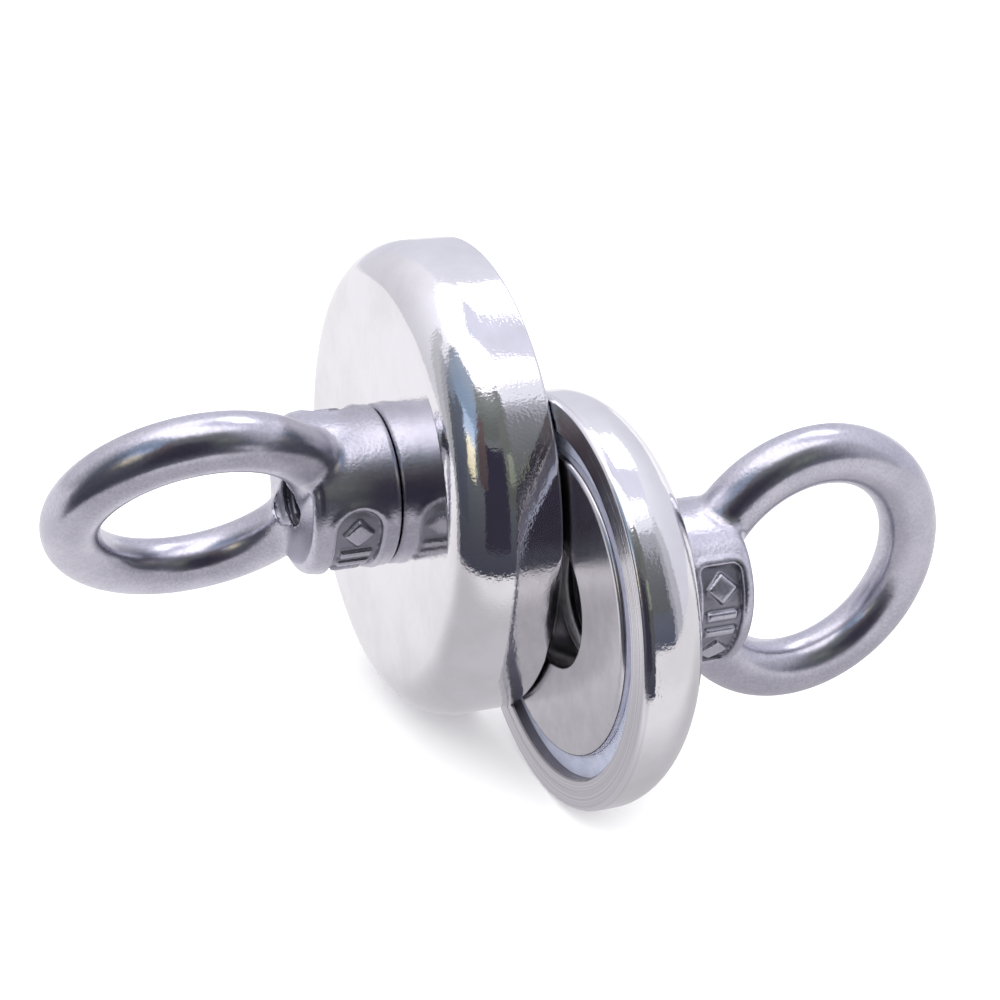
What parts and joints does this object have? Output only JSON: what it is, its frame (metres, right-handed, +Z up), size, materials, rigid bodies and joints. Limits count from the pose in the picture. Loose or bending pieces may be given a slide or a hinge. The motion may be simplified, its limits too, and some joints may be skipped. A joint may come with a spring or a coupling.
{
  "type": "magnet fishing magnet",
  "caption": "Round single-sided pot magnets with screwed-on cast eye nuts, clamped pole face to pole face and slid partly apart.",
  "frame": {"origin": "centre of the bounding box in plan, on the plane that both pots stand on", "axes": "+X along both magnets' axes, from the large magnet's eye to the small magnet's eye; +Z up"},
  "size_m": [0.1068, 0.0814, 0.06],
  "materials": {
    "nickel_plate": "bright nickel plating, near mirror, with a slight orange-peel",
    "magnet_plate": "satin nickel plating on a ground magnet",
    "cast_stainless": "tumbled investment-cast stainless steel",
    "screw_steel": "plain machined stainless steel",
    "resin": "cast sealing resin, milky white, half gloss",
    "adhesive": "cured epoxy film"
  },
  "bodies": {
    "large_magnet": {"large_pot": "nickel_plate", "large_ring_magnet": "magnet_plate", "large_adhesive_bed": "adhesive", "large_resin_ring": "resin"},
    "large_screw": {"large_screw": "screw_steel"},
    "large_eye_nut": {"large_eye_nut": "cast_stainless"},
    "small_magnet": {"small_pot": "nickel_plate", "small_ring_magnet": "magnet_plate", "small_adhesive_bed": "adhesive", "small_resin_ring": "resin"},
    "small_screw": {"small_screw": "screw_steel"},
    "small_eye_nut": {"small_eye_nut": "cast_stainless"}
  },
  "joints": [
    {"name": "small_magnet_slide", "type": "slide", "parent": "large_magnet", "child": "small_magnet", "axis": [0, -0.9814, -0.1919], "range_m": [-0.0271, 0.028]},
    {"name": "large_screw_turn", "type": "hinge", "parent": "large_magnet", "child": "large_screw", "pos_m": [-0.00695, 0.0107, 0.03], "axis": [1, 0, 0], "range_deg": [0, 2160]},
    {"name": "large_eye_nut_travel", "type": "slide", "parent": "large_magnet", "child": "large_eye_nut", "axis": [-1, 0, 0], "range_m": [0, 0.0075]},
    {"name": "small_screw_turn", "type": "hinge", "parent": "small_magnet", "child": "small_screw", "pos_m": [0.00695, -0.0159, 0.0248], "axis": [-1, 0, 0], "range_deg": [0, 2160]},
    {"name": "small_eye_nut_travel", "type": "slide", "parent": "small_magnet", "child": "small_eye_nut", "axis": [1, 0, 0], "range_m": [0, 0.0075]}
  ],
  "couplings": [
    {"joint": "large_screw_turn", "follows": "large_eye_nut_travel", "rad_per_m": 5026.5},
    {"joint": "small_screw_turn", "follows": "small_eye_nut_travel", "rad_per_m": 5026.5}
  ]
}
